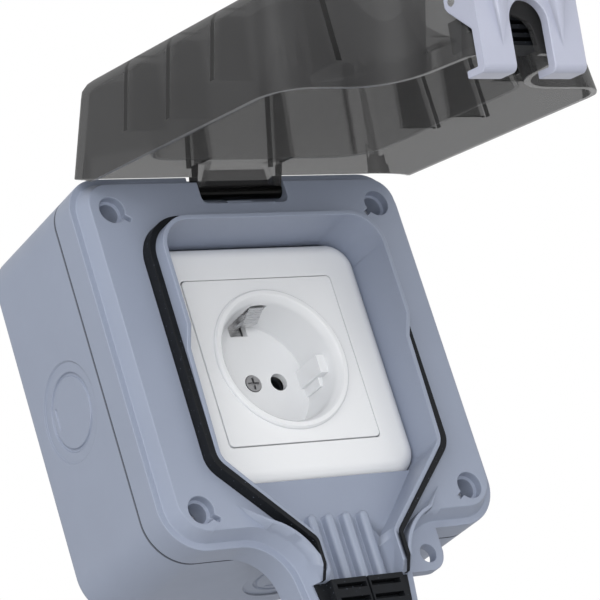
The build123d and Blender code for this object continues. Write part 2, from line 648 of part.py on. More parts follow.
base_outline = outlet * RectangleRounded(BASE_SIZE, BASE_SIZE, PILLAR_RADIUS)
socket_base = slab(base_outline, BASE_BACK, STRAP_BACK)
socket_base -= stud(0, OUTLET_Z, cup_radius + CLIP_PLAY, base_front, STRAP_BACK)
socket_base -= stud(0, OUTLET_Z, SMALL_HOLE, base_front - 14, base_front)
sleeve_back = BASE_BACK + SLEEVE_END
tail_back = sleeve_back + 0.2
tail_front = tail_back + TAIL_THICK
terminal_front = tail_front + 2.2
terminal_screws = Part()
contacts = []
for side in (-1, 1):
    pin_x = side * PIN_SPACING / 2
    end_x = side * TERMINAL_X
    low_x = min(pin_x, end_x)
    high_x = max(pin_x, end_x)
    socket_base -= stud(pin_x, OUTLET_Z, SLEEVE_OUT + 0.2, sleeve_back, base_front)
    socket_base -= block(low_x, high_x, OUTLET_Z - 2.2, OUTLET_Z + 2.2, sleeve_back, base_front)
    socket_base -= stud(end_x, OUTLET_Z, SLEEVE_OUT - 0.2, sleeve_back - 2, base_front)
    tail = block(low_x, high_x, OUTLET_Z - 2, OUTLET_Z + 2, tail_back, tail_front)
    tail += stud(end_x, OUTLET_Z, SLEEVE_OUT - 0.5, tail_back, tail_front)
    contact = stud(pin_x, OUTLET_Z, SLEEVE_OUT, tail_back, base_front - 0.4) + tail
    contact -= stud(pin_x, OUTLET_Z, SLEEVE_IN, tail_front, base_front)
    contact -= stud(end_x, OUTLET_Z, SMALL_HOLE, sleeve_back, base_front)
    contacts.append(contact)
    screw = stud(end_x, OUTLET_Z, SMALL_SCREW, sleeve_back - 1.8, tail_front)
    screw += stud(end_x, OUTLET_Z, CLIP_HALF, tail_front, terminal_front)
    screw -= block(end_x - 2, end_x + 2, OUTLET_Z - 0.4, OUTLET_Z + 0.4, terminal_front - 1, terminal_front)
    terminal_screws += screw
line_contact, neutral_contact = contacts

centre_front = WELL_BACK + 0.1
cross_back = WELL_BACK - 0.8
socket_centre_screw = stud(0, OUTLET_Z, CENTRE_HEAD, centre_seat, centre_front)
socket_centre_screw += stud(0, OUTLET_Z, SMALL_SCREW, base_front - 12, centre_seat)
socket_centre_screw -= block(-2, 2, OUTLET_Z - 0.4, OUTLET_Z + 0.4, cross_back, centre_front)
socket_centre_screw -= block(-0.4, 0.4, OUTLET_Z - 2, OUTLET_Z + 2, cross_back, centre_front)

strap_outline = RectangleRounded(STRAP_SIZE, STRAP_SIZE, 6) - Circle(cup_radius + 1)
mounting_strap = slab(outlet * strap_outline, STRAP_BACK, STRAP_FRONT)
strap_head = STRAP_FRONT + 1.8
strap_screws = Part()
for x in (-STRAP_SCREW_SPACING / 2, STRAP_SCREW_SPACING / 2):
    mounting_strap -= stud(x, OUTLET_Z, PASS_HOLE, STRAP_BACK, STRAP_FRONT)
    screw = stud(x, OUTLET_Z, SCREW_HEAD, STRAP_FRONT, strap_head)
    screw += stud(x, OUTLET_Z, SMALL_SCREW, STRAP_BACK - 12, STRAP_FRONT)
    screw -= block(x - 2.2, x + 2.2, OUTLET_Z - 0.4, OUTLET_Z + 0.4, strap_head - 0.9, strap_head)
    strap_screws += screw

# Lid: drafted shell
lid_outer = domed(lid_outline, LID_RIM, 0, LID_ROOF, LID_DRAFT, LID_ROUND)
room_draft = LID_DRAFT * (LID_HEIGHT - LID_WALL) / LID_HEIGHT
lid_room = domed(lid_outline, LID_RIM, LID_WALL, LID_ROOF - LID_WALL, room_draft, LID_ROUND - LID_WALL)
lid = lid_outer - lid_room
lift_side = [(LID_TOP - 14, LID_RIM - 1), (LID_TOP - 14, LID_RIM), (LID_TOP - 11, LID_RIM + LID_LIFT / 4),
             (LID_TOP + 1, LID_RIM + LID_LIFT), (LID_TOP + 1, LID_RIM - 1)]
lid -= side_plate(lift_side, -BODY_WIDTH / 2, BODY_WIDTH / 2)

# Lid: inner sealing wall that meets the band, and the fins that stiffen it
lip_back = SEAL_FRONT + SEAL_PLAY
lip_in = WALL + LIP_PLAY
lip_out = lip_in + FIN
lip_ring = mouth_outline(lip_out, LID_END + LIP_PLAY) - mouth_outline(lip_in, LID_END - 1)
lid_lip = slab(lip_ring, lip_back, LID_ROOF) & lid_outer
fins = Part()
for z, lift in SIDE_FINS:
    fins += block(MOUTH_HALF, BODY_WIDTH / 2, z - FIN / 2, z + FIN / 2, LID_RIM + lift, LID_ROOF)
hinge_fin = HINGE_HALF - FIN
fins += block(hinge_fin, HINGE_HALF, MOUTH_TOP, LID_TOP, LID_RIM + HINGE_FIN_LIFT, LID_ROOF)
fins += block(LOW_FIN_X, LOW_FIN_X + FIN, BODY_LOW, MOUTH_TURN, LID_RIM + LOW_FIN_LIFT, LID_ROOF)
corner_back = LID_RIM + CORNER_FIN_LIFT
corner_fin = block(-CORNER_FIN_HALF, CORNER_FIN_HALF, -FIN / 2, FIN / 2, corner_back, LID_ROOF)
fins += Pos(MOUTH_HALF + 6, 0, MOUTH_TOP + 3) * Rot(0, -40, 0) * corner_fin
fins -= slab(mouth_outline(lip_in + FIN / 2, LID_END - 1), LID_RIM - 1, LID_ROOF)
fins = mirrored(fins & lid_outer)
lid += lid_lip + fins

# Lid: hinge arms that narrow to the barrel, the barrel and its tab
arm_out = HINGE_HALF - SIDE_PLAY
arm_front = LID_RIM + ARM_RISE
arm_side = [(HINGE_HEIGHT - 4.6, arm_front), (HINGE_HEIGHT - 2, HINGE_DEPTH + 1.6),
            (HINGE_HEIGHT, HINGE_DEPTH), (LID_TOP - 0.4, HINGE_DEPTH + 0.4), (LID_TOP - 1.4, arm_front)]
arm_wedge = make_face(Polyline((arm_out, -HINGE_DEPTH), (arm_out, -arm_front),
                               (arm_out - ARM_ROOT, -arm_front), (arm_out - ARM, -HINGE_DEPTH), close=True))
arms = side_plate(arm_side, arm_out - ARM_ROOT, arm_out)
arms &= extrude(Plane.XY.offset(HINGE_HEIGHT - 5) * arm_wedge, LID_TOP - HINGE_HEIGHT + 6)
tab_front = LID_RIM + LID_LIFT + 1
tab_side = [(LID_TOP, HINGE_DEPTH), (LID_TOP - LID_WALL, HINGE_DEPTH), (LID_TOP - LID_WALL - 1.2, tab_front),
            (LID_TOP - 1.2, tab_front)]
tab = side_plate(tab_side, -arm_out, arm_out)
barrel = cross_bar(HINGE_HEIGHT, HINGE_DEPTH, BARREL_RADIUS, -arm_out, arm_out)
lid += mirrored(arms) + tab + barrel
lid -= cross_bar(HINGE_HEIGHT, HINGE_DEPTH, PIN_RADIUS + PIN_FIT, -arm_out, arm_out)
pin_space = cross_bar(HINGE_HEIGHT, HINGE_DEPTH, PIN_RADIUS + SIDE_PLAY, arm_out, PIN_HALF + SIDE_PLAY)
lid -= mirrored(pin_space)

# Lid: arched cable gap and latch bosses at the spout's end
arch = Pos(0, -LID_RIM - ARCH_RISE) * Circle(ARCH_HALF)
arch += Pos(0, -LID_RIM - ARCH_RISE / 2 + 0.5) * Rectangle(2 * ARCH_HALF, ARCH_RISE + 1)
lid -= extrude(Plane.XY.offset(LID_END - 1) * arch, 6)
cheek_in = LATCH_HALF - LATCH_CHEEK
boss_out = cheek_in - SIDE_PLAY
seat_in = boss_out - LATCH_PIN_SEAT
boss = cross_bar(LATCH_PIVOT_Z, LATCH_PIVOT_DEPTH, LATCH_PIN + LATCH_BOSS, seat_in - 0.5, boss_out)
pin_hole = cross_bar(LATCH_PIVOT_Z, LATCH_PIVOT_DEPTH, LATCH_PIN, seat_in, boss_out)
lid += mirrored(boss)
lid -= mirrored(pin_hole)
latch_pins = mirrored(cross_bar(LATCH_PIVOT_Z, LATCH_PIVOT_DEPTH, LATCH_PIN, seat_in, LATCH_HALF))

# Lid: slotted comb above the exit
upper_back = wall_tip + COMB_PARTING
upper_front = LATCH_PIVOT_DEPTH - LATCH_PIN - 2
upper_half = comb_half - 0.3
upper_low = LID_END + LID_WALL + 3.2
cable_comb_upper = block(-upper_half, upper_half, upper_low, EXIT_END - 2, upper_back, upper_front)
for place in range(3):
    slot_back = upper_back + UPPER_SLOT + UPPER_PITCH * place
    slot_front = slot_back + UPPER_SLOT
    cable_comb_upper -= block(4 - upper_half, upper_half - 4, upper_low, upper_low + 5, slot_back, slot_front)

# Latch: two legs with hooks, cheeks at the pivot and tapering ribs
leg_outer = LEG_INNER - LATCH_LEG
hook_back = HOOK_TOP - HOOK_THICK
latch = block(-LATCH_HALF, LATCH_HALF, leg_outer, LEG_INNER, hook_back, LATCH_TOP)
latch += block(-LATCH_HALF, LATCH_HALF, LEG_INNER, LEG_INNER + HOOK_REACH, hook_back, HOOK_TOP)
latch = fillet(latch.edges().filter_by(Axis.X).group_by(Axis.Y)[-1].sort_by(Axis.Z)[0:1], LATCH_EDGE)
cheek_low = LID_RIM + 6.5
cheek_side = [(LEG_INNER, cheek_low), (LATCH_PIVOT_Z + 2.3, LATCH_PIVOT_DEPTH - 2.7),
              (LATCH_PIVOT_Z + 3.4, LATCH_PIVOT_DEPTH - 1.2), (LATCH_PIVOT_Z + 3.4, LATCH_PIVOT_DEPTH + 1.0),
              (LATCH_PIVOT_Z + 2, LATCH_TOP), (leg_outer, LATCH_TOP), (leg_outer, cheek_low)]
latch += mirrored(side_plate(cheek_side, cheek_in, LATCH_HALF))
rib_low = LID_RIM + 0.8
rib_side = [(leg_outer + 0.5, rib_low), (leg_outer, rib_low), (leg_outer - LATCH_RIB, LATCH_TOP),
            (leg_outer + 0.5, LATCH_TOP)]
rib_front = make_face(Polyline((LATCH_RIB_X, -rib_low), (LATCH_RIB_X + 1.6, -LATCH_TOP),
                               (LATCH_RIB_X - 3.4, -LATCH_TOP), close=True))
latch_rib = side_plate(rib_side, LATCH_RIB_X - 4, LATCH_RIB_X + 2)
latch_rib &= extrude(Plane.XY.offset(leg_outer - LATCH_RIB - 1) * rib_front, LATCH_RIB + 2)
latch += mirrored(latch_rib)
gap_front = LID_RIM + LATCH_SLOT_RISE
gap = Pos(0, -gap_front) * Circle(LATCH_SLOT)
gap += Pos(0, -(gap_front + hook_back) / 2 + 0.5) * Rectangle(2 * LATCH_SLOT, gap_front - hook_back + 1)
latch -= extrude(Plane.XY.offset(leg_outer - 1) * gap, LATCH_LEG + HOOK_REACH + 3)
latch -= mirrored(cross_bar(LATCH_PIVOT_Z, LATCH_PIVOT_DEPTH, LATCH_PIN + PIN_FIT, cheek_in, LATCH_HALF))


def opened(solid):
    """A piece of the shut lid turned to where it stands open."""
    return solid.rotate(HINGE_AXIS, -LID_OPEN)


pieces = {
    "back_box": back_box,
    "box_gasket": box_gasket,
    "front_housing": front_housing,
    "cover_screws": cover_screws,
    "screw_washers": screw_washers,
    "screw_inserts": screw_inserts,
    "opening_seal": opening_seal,
    "cable_comb_lower": cable_comb_lower,
    "hinge_pin": hinge_pin,
    "socket_frame": socket_frame,
    "socket_cover": socket_cover,
    "socket_centre_screw": socket_centre_screw,
    "earth_clip": earth_clip,
    "socket_base": socket_base,
    "line_contact": line_contact,
    "neutral_contact": neutral_contact,
    "terminal_screws": terminal_screws,
    "mounting_strap": mounting_strap,
    "strap_screws": strap_screws,
    "lid": opened(lid),
    "cable_comb_upper": opened(cable_comb_upper),
    "latch_pins": opened(latch_pins),
    "latch": opened(latch),
}
for name, piece in pieces.items():
    export_step(piece, f"parts/{name}.step")
    print(name, len(piece.solids()), round(piece.volume / 1000, 2))
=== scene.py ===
"""Looks of an outdoor weatherproof socket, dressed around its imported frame."""

import logging
import math
from dataclasses import dataclass, field
from enum import Enum
from typing import Any, Optional, Union

import bmesh
import bpy
from mathutils import Matrix, Vector
from mathutils.bvhtree import BVHTree
from mathutils.geometry import area_tri, intersect_line_line_2d, intersect_point_line


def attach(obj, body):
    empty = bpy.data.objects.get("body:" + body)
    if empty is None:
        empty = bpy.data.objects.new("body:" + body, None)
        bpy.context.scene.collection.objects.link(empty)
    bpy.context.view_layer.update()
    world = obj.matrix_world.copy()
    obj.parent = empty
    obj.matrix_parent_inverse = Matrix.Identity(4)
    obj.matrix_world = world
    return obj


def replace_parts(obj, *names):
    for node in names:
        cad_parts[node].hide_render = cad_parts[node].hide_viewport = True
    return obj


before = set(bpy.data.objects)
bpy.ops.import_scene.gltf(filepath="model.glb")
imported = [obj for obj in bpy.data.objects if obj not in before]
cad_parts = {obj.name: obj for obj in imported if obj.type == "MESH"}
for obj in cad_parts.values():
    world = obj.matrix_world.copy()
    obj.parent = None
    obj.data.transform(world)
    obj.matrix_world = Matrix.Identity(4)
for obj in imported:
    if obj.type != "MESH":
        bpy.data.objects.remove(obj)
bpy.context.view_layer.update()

MM = 0.001
NOISE_MIDDLE = 0.5
RIGHT = Vector((1.0, 0.0, 0.0))
OUT = Vector((0.0, -1.0, 0.0))
UP = Vector((0.0, 0.0, 1.0))
log = logging.getLogger("socket")

Triple = tuple[float, float, float]
Feed = Union["Link", float, tuple, Vector, None]


class Body(Enum):
    """The moving bodies that rounded pieces ride on."""

    HOUSING = "housing"
    LID = "lid"
    LATCH = "latch"


class Slot(Enum):
    """The record's material slots, named for the kinds of rounded piece."""

    GREY = "housing_grey"
    SMOKE = "lid_smoke"
    LATCH = "latch_grey"
    RUBBER = "seal_black"
    WHITE = "outlet_white"


class Link:
    """A node's output that can be used in Python sums."""

    STEEPNESS = 4.0

    def __init__(self, graph: "Graph", socket: Optional[bpy.types.NodeSocket]) -> None:
        """Keeps the graph and the output.

        Args:
            graph: The node graph that the output belongs to.
            socket: The output itself, or None after a node with no output.
        """
        self.graph = graph
        self.socket = socket

    def _math(self, operation: str, first: Feed, second: Feed) -> "Link":
        """Adds one Math node.

        Args:
            operation: The Math node's operation.
            first: Its first value.
            second: Its second value.

        Returns:
            The node's output.
        """
        return self.graph.node("ShaderNodeMath", {"operation": operation}, {0: first, 1: second})

    def __add__(self, other: Feed) -> "Link":
        """Sum with another value."""
        return self._math("ADD", self, other)

    def __radd__(self, other: Feed) -> "Link":
        """Sum with a number on the left."""
        return self._math("ADD", other, self)

    def __sub__(self, other: Feed) -> "Link":
        """Difference from another value."""
        return self._math("SUBTRACT", self, other)

    def __rsub__(self, other: Feed) -> "Link":
        """Difference of a number and this value."""
        return self._math("SUBTRACT", other, self)

    def __mul__(self, other: Feed) -> "Link":
        """Product with another value."""
        return self._math("MULTIPLY", self, other)

    def __rmul__(self, other: Feed) -> "Link":
        """Product with a number on the left."""
        return self._math("MULTIPLY", other, self)

    def __pow__(self, other: Feed) -> "Link":
        """Power of this value."""
        return self._math("POWER", self, other)

    def __rpow__(self, other: Feed) -> "Link":
        """Power of a number by this value."""
        return self._math("POWER", other, self)

    def __gt__(self, other: Feed) -> "Link":
        """1 where this value is the greater, else 0."""
        return self._math("GREATER_THAN", self, other)

    def __lt__(self, other: Feed) -> "Link":
        """1 where this value is the smaller, else 0."""
        return self._math("LESS_THAN", self, other)

    def __abs__(self) -> "Link":
        """Size of this value without its sign."""
        return self._math("ABSOLUTE", self, None)

    def near(self, place: float, half: float) -> "Link":
        """1 around a place, fading to 0 at the ends of a range.

        Args:
            place: The middle of the range.
            half: Half of the range's length.

        Returns:
            The share.
        """
        inside = abs(self - place) * (-self.STEEPNESS / half) + self.STEEPNESS
        return self.graph.node("ShaderNodeClamp", {}, {0: inside})


class Graph:
    """A node tree that is filled through one method."""

    def __init__(self, tree: bpy.types.NodeTree) -> None:
        """Clears the tree.

        Args:
            tree: The node tree of a material or of the world.
        """
        self.tree = tree
        tree.nodes.clear()

    def node(self, kind: str, settings: dict[str, Any], inputs: dict[Any, Feed], output: Any = 0) -> Link:
        """Adds one node, sets it and feeds it.

        Args:
            kind: The node's type.
            settings: Its settings by name.
            inputs: Values or links by the name or number of the socket.
            output: The name or number of the output to return.

        Returns:
            The chosen output, or an empty link for a node with no output.
        """
        made = self.tree.nodes.new(kind)
        for name, value in settings.items():
            setattr(made, name, value)
        for name, value in inputs.items():
            if isinstance(value, Link):
                self.tree.links.new(value.socket, made.inputs[name])
            elif value is not None:
                made.inputs[name].default_value = value
        return Link(self, made.outputs[output] if made.outputs else None)

    def points(self) -> Link:
        """Points of the surface in metres, fixed to the piece."""
        return self.node("ShaderNodeTexCoord", {}, {}, "Object")

    def along(self, direction: Vector) -> Link:
        """Distance of the surface's points along a direction, in metres."""
        inputs = {0: self.points(), 1: direction}
        return self.node("ShaderNodeVectorMath", {"operation": "DOT_PRODUCT"}, inputs, "Value")

    def noise(self, scale: float, detail: float, place: Feed = None, roughness: float = 0.55) -> Link:
        """Smooth noise between 0 and 1.

        Args:
            scale: Noise cells for each metre.
            detail: How many finer layers are added.
            place: The points to use, or the surface's own.
            roughness: How strong the finer layers are.

        Returns:
            The noise value.
        """
        where = place if place is not None else self.points()
        inputs = {"Vector": where, "Scale": scale, "Detail": detail, "Roughness": roughness}
        return self.node("ShaderNodeTexNoise", {"noise_dimensions": "3D"}, inputs, "Fac")

    def blend(self, share: Feed, first: Feed, second: Feed) -> Link:
        """Mixes two colours.

        Args:
            share: 0 for the first colour, 1 for the second.
            first: The first colour.
            second: The second colour.

        Returns:
            The mixed colour.
        """
        return self.node("ShaderNodeMix", {"data_type": "RGBA"}, {0: share, 6: first, 7: second}, 2)

    def bump(self, height: Link, depth: float, strength: float) -> Link:
        """Turns a height into a normal.

        Args:
            height: The height, from 0 to 1.
            depth: How far the height reaches, in metres.
            strength: How much of it shows.

        Returns:
            The bent normal.
        """
        inputs = {"Height": height, "Distance": depth, "Strength": strength}
        return self.node("ShaderNodeBump", {}, inputs)


@dataclass(frozen=True)
class Finish:
    """A surface's finish, with what all finishes share."""

    name: str
    colour: Triple
    roughness: float

    def tone(self, factor: float = 1.0) -> tuple[float, float, float, float]:
        """The colour with alpha, scaled in brightness."""
        red, green, blue = self.colour
        return (red * factor, green * factor, blue * factor, 1.0)

    def uneven(self, noise: Link, spread: float) -> Link:
        """The roughness, strayed to both sides by a noise."""
        return self.roughness + (noise - NOISE_MIDDLE) * spread

    def feeds(self, graph: Graph) -> dict[str, Feed]:
        """What the finish sets on the shader.

        Args:
            graph: The material's graph.

        Returns:
            Values and links by the shader's socket names.
        """
        return {"Base Color": self.tone(), "Roughness": self.roughness}

    def material(self) -> bpy.types.Material:
        """Makes the material, or returns the one already made.

        Returns:
            The material of this finish.
        """
        made = bpy.data.materials.get(self.name)
        if made is not None:
            return made
        made = bpy.data.materials.new(self.name)
        made.use_nodes = True
        graph = Graph(made.node_tree)
        shader = graph.node("ShaderNodeBsdfPrincipled", {}, self.feeds(graph), "BSDF")
        graph.node("ShaderNodeOutputMaterial", {}, {"Surface": shader})
        return made


@dataclass(frozen=True)
class MouldedPlastic(Finish):
    """Moulded plastic with a fine spark-eroded texture."""

    grain: float = 2600.0
    grain_depth: float = 0.02 * MM
    grain_strength: float = 0.35
    mottle: float = 0.06
    gloss: float = 0.4
    spread: float = 0.16
    cloud: float = 55.0
    cloud_share: float = 0.7
    smear: float = 140.0

    def feeds(self, graph: Graph) -> dict[str, Feed]:
        """Faint cloudiness in colour and gloss over a fine grain.

        Args:
            graph: The material's graph.

        Returns:
            Values and links by the shader's socket names.
        """
        clouds = graph.noise(self.cloud, detail=3.0)
        grain = graph.noise(self.grain, detail=2.0)
        tint = clouds * self.cloud_share + grain * (1 - self.cloud_share)
        base = graph.blend(tint, self.tone(1 - self.mottle), self.tone(1 + self.mottle))
        rough = self.uneven(graph.noise(self.smear, detail=4.0), self.spread)
        normal = graph.bump(grain, self.grain_depth, self.grain_strength)
        return {"Base Color": base, "Roughness": rough, "Normal": normal, "Specular IOR Level": self.gloss}


@dataclass(frozen=True)
class JointedPlastic(MouldedPlastic):
    """Moulded plastic with painted shade in the joint between box and cover."""

    joint: float = 43.75 * MM
    joint_half: float = 0.5 * MM
    # tone of the painted shade in the joint
    joint_shade_tone: float = 0.28

    def feeds(self, graph: Graph) -> dict[str, Feed]:
        """The plastic's own feeds, with painted shade along the joint.

        Args:
            graph: The material's graph.

        Returns:
            Values and links by the shader's socket names.
        """
        feeds = super().feeds(graph)
        # painted shade: the base colour darkens in a band along the joint, where shade falls in the groove
        joint_shade_mask = graph.along(OUT).near(self.joint, self.joint_half)
        feeds["Base Color"] = graph.blend(joint_shade_mask, feeds["Base Color"], self.tone(self.joint_shade_tone))
        return feeds


@dataclass(frozen=True)
class SmokePlastic(Finish):
    """See-through smoke-grey plastic with a fine etched grain."""

    cover: float = 0.6
    grain: float = 5200.0
    grain_depth: float = 0.02 * MM
    grain_strength: float = 0.25
    gloss: float = 0.4
    mottle: float = 0.2
    cloud: float = 40.0
    spread: float = 0.1

    def feeds(self, graph: Graph) -> dict[str, Feed]:
        """A frosted skin that lets part of the light through.

        Args:
            graph: The material's graph.

        Returns:
            Values and links by the shader's socket names.
        """
        grain = graph.noise(self.grain, detail=3.0)
        clouds = graph.noise(self.cloud, detail=2.0)
        base = graph.blend(grain, self.tone(1 - self.mottle), self.tone(1 + self.mottle))
        rough = self.uneven(clouds, self.spread)
        normal = graph.bump(grain, self.grain_depth, self.grain_strength)
        feeds = {"Base Color": base, "Roughness": rough, "Normal": normal, "Alpha": self.cover}
        return feeds | {"Specular IOR Level": self.gloss}


class Wall(Enum):
    """The lid's wall that a fin stands at, with the sign of its height."""

    SIDE = 0.0
    HINGE = 1.0
    LATCH = -1.0


@dataclass(frozen=True)
class Fin:
    """A stiffening plate inside the lid, and its mirror image at the other side."""

    place: float
    lift: float
    wall: Wall = Wall.SIDE
    half: float = 0.75 * MM
    slack: float = 0.25 * MM

    def holds(self, corners: list[Vector]) -> bool:
        """Whether all corners of a face lie on the plate.

        Args:
            corners: The face's corners in the shut lid's frame.

        Returns:
            True if none lies off it.
        """
        places = [corner.z if self.wall is Wall.SIDE else abs(corner.x) for corner in corners]
        return all(abs(place - self.place) < self.half + self.slack for place in places)


@dataclass(frozen=True)
class LidShape:
    """Where the lid's hinge, rim and fins lie."""

    hinge: Triple = (0.0, -55.4 * MM, 54.5 * MM)
    opened: float = math.radians(76.0)
    rim: float = 57.1 * MM
    roof: float = 89.6 * MM
    wall: float = 1.9 * MM
    barrel: float = 2.5 * MM
    root_half: float = 1.1 * MM
    side_from: float = 42.2 * MM
    end_from: float = 38.5 * MM
    fins: tuple[Fin, ...] = (
        Fin(22.4 * MM, 10.0 * MM),
        Fin(-1.6 * MM, 7.0 * MM),
        Fin(-25.6 * MM, 11.5 * MM),
        Fin(15.25 * MM, 6.7 * MM, Wall.HINGE),
        Fin(36.75 * MM, 8.0 * MM, Wall.LATCH),
    )

    @property
    def turn(self) -> Matrix:
        """The turn that shuts the open lid."""
        return Matrix.Rotation(self.opened, 3, "X")

    def shut(self, point: Vector) -> Vector:
        """Place of an open lid's point once the lid is shut."""
        return self.turn @ (point - Vector(self.hinge)) + Vector(self.hinge)

    def measure(self, graph: Graph, direction: Vector) -> Link:
        """Distance of the shut lid's points along a direction, in metres."""
        return graph.along(self.turn.transposed() @ direction) + direction.dot(self.shut(Vector()))

    def roots(self, graph: Graph) -> Link:
        """Finds where fins stand on the inside of the skin.

        Args:
            graph: The material's graph.

        Returns:
            1 on a fin's root, 0 elsewhere.
        """
        side = abs(graph.along(RIGHT))
        height = self.measure(graph, UP)
        depth = self.measure(graph, OUT)
        masks: list[Link] = []
        for fin in self.fins:
            if fin.wall is Wall.SIDE:
                across, reach = height, side > self.side_from
            else:
                across, reach = side, height * fin.wall.value > self.end_from
            root = across.near(fin.place, self.root_half) * (depth > self.rim + fin.lift)
            masks.append(root * reach)
        return sum(masks, 0.0)


@dataclass(frozen=True)
class FrostedSmoke(SmokePlastic):
    """Smoke-grey plastic with a matt skin that shows the fins that stand on it."""

    root_shade: float = 0.12
    root_cover: float = 0.97
    shape: LidShape = LidShape()

    def feeds(self, graph: Graph) -> dict[str, Feed]:
        """The smoke's own feeds, darker on the fins' roots.

        Args:
            graph: The material's graph.

        Returns:
            Values and links by the shader's socket names.
        """
        feeds = super().feeds(graph)
        roots = self.shape.roots(graph)
        feeds["Base Color"] = graph.blend(roots, feeds["Base Color"], self.tone(self.root_shade))
        feeds["Alpha"] = self.cover + roots * (self.root_cover - self.cover)
        return feeds


@dataclass(frozen=True)
class Rubber(Finish):
    """Matt rubber with a dusty bloom."""

    gloss: float = 0.2
    dust: float = 420.0
    dust_power: float = 3.0
    dust_tone: float = 3.0
    dust_roughness: float = 0.3
    speck: float = 1500.0
    speck_from: float = 0.74
    speck_tone: float = 16.0
    grain: float = 1800.0
    grain_depth: float = 0.03 * MM
    grain_strength: float = 0.5

    def feeds(self, graph: Graph) -> dict[str, Feed]:
        """A dark skin with paler dust in patches and specks.

        Args:
            graph: The material's graph.

        Returns:
            Values and links by the shader's socket names.
        """
        dust = graph.noise(self.dust, detail=4.0) ** self.dust_power
        specks = graph.noise(self.speck, detail=1.0) > self.speck_from
        film = graph.blend(dust, self.tone(), self.tone(self.dust_tone))
        base = graph.blend(specks, film, self.tone(self.speck_tone))
        rough = self.roughness + dust * self.dust_roughness
        normal = graph.bump(graph.noise(self.grain, detail=2.0), self.grain_depth, self.grain_strength)
        return {"Base Color": base, "Roughness": rough, "Normal": normal, "Specular IOR Level": self.gloss}


@dataclass(frozen=True)
class Metal(Finish):
    """Plated or plain metal with drawn lines along one axis."""

    stretch: Triple = (1.0, 12.0, 12.0)
    lines: float = 260.0
    dark: float = 0.82
    light: float = 1.1
    spread: float = 0.2
    line_depth: float = 0.01 * MM
    line_strength: float = 0.3

    def feeds(self, graph: Graph) -> dict[str, Feed]:
        """Fine lines in gloss and colour.

        Args:
            graph: The material's graph.

        Returns:
            Values and links by the shader's socket names.
        """
        inputs = {0: graph.points(), 1: self.stretch}
        scaled = graph.node("ShaderNodeVectorMath", {"operation": "MULTIPLY"}, inputs)
        lines = graph.noise(self.lines, detail=3.0, place=scaled)
        base = graph.blend(lines, self.tone(self.dark), self.tone(self.light))
        rough = self.uneven(lines, self.spread)
        normal = graph.bump(lines, self.line_depth, self.line_strength)
        return {"Base Color": base, "Roughness": rough, "Normal": normal, "Metallic": 1.0}


class Finishes:
    """The finishes of the socket's pieces and of the floor."""

    GREY = JointedPlastic("grey_moulded", (0.285, 0.322, 0.412), 0.46)
    LATCH = MouldedPlastic("latch_moulded", (0.43, 0.45, 0.55), 0.34, grain_strength=0.15)
    FROST = FrostedSmoke(
        "smoke_frosted", (0.034, 0.034, 0.035), 0.44,
        cover=0.78, grain=4200.0, grain_strength=0.2, gloss=0.25,
    )
    CLEAR = SmokePlastic("smoke_clear", (0.10, 0.10, 0.101), 0.16, cover=0.30, grain_strength=0.05)
    # painted shade, partly the thicker plastic: the fins' faces are near black, darker than the lid's other
    # inside faces
    FIN_SHADE = SmokePlastic("smoke_fin_shade", (0.006, 0.006, 0.006), 0.20, cover=0.54, grain_strength=0.05)
    # painted shade, partly the thicker plastic: near black on the fins' free edges and on the hinge barrel
    EDGE_SHADE = SmokePlastic("smoke_edge_shade", (0.002, 0.002, 0.002), 0.25, cover=0.94, gloss=0.2)
    # painted highlight: a much paler smoke tone on the rim's end faces, standing for the light line along
    # the lid's rim
    RIM_HIGHLIGHT = SmokePlastic("smoke_rim_highlight", (0.20, 0.20, 0.20), 0.25, cover=0.7)
    RUBBER = Rubber("seal_rubber", (0.006, 0.007, 0.009), 0.62)
    WHITE = MouldedPlastic(
        "outlet_moulded", (0.80, 0.812, 0.83), 0.24, grain_strength=0.06, mottle=0.008, spread=0.04
    )
    STEEL = Metal("zinc_plate", (0.62, 0.62, 0.63), 0.28)
    SCREW = Metal("screw_steel", (0.30, 0.30, 0.31), 0.34)
    # painted shade: the nickel-plated contacts are given a dark grey-blue, standing for the shade inside
    # the outlet's holes
    CONTACT_SHADE = Metal("nickel_plate_painted_shade", (0.20, 0.21, 0.235), 0.36)
    BRASS = Metal("brass_plain", (0.62, 0.47, 0.22), 0.3)
    BLOCK = MouldedPlastic("block_moulded", (0.13, 0.13, 0.135), 0.55)
    FLOOR = MouldedPlastic("floor_paint", (0.90, 0.90, 0.90), 0.8, grain=300.0, mottle=0.01)


